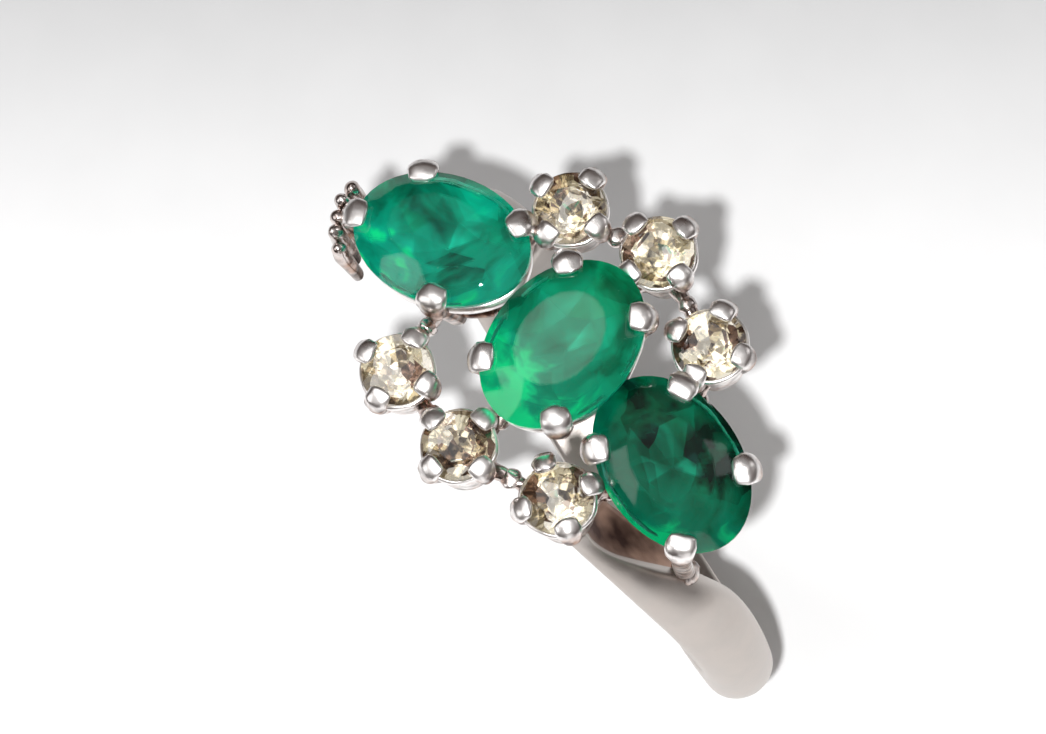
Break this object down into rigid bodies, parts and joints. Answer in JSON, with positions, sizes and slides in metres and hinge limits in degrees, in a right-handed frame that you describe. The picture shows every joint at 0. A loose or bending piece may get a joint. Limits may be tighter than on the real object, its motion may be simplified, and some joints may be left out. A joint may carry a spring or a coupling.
{
  "type": "cocktail ring",
  "caption": "White metal cocktail ring with oval green stones in a raised leaning row, small pale round stones on both sides, open claw settings and a tapering D-section band.",
  "frame": {"origin": "centre of the round finger hole, on its axis and half-way along the band's width", "axes": "+Y along the finger hole, +Z from the palm side through the middle of the head, +X from the left end stone towards the right end stone"},
  "size_m": [0.0218, 0.0135, 0.0251],
  "materials": {
    "white_metal": "polished white metal, slightly satin on the band",
    "green_stone": "polished, faceted",
    "pale_stone": "polished, faceted"
  },
  "bodies": {
    "root": {"shank": "white_metal", "setting_left": "white_metal", "setting_middle": "white_metal", "setting_right": "white_metal", "cup_back_1": "white_metal", "cup_back_2": "white_metal", "cup_back_3": "white_metal", "cup_front_1": "white_metal", "cup_front_2": "white_metal", "cup_front_3": "white_metal", "gallery_wires": "white_metal", "end_ribs": "white_metal", "stone_left": "green_stone", "stone_middle": "green_stone", "stone_right": "green_stone", "round_back_1": "pale_stone", "round_back_2": "pale_stone", "round_back_3": "pale_stone", "round_front_1": "pale_stone", "round_front_2": "pale_stone", "round_front_3": "pale_stone"}
  },
  "joints": []
}
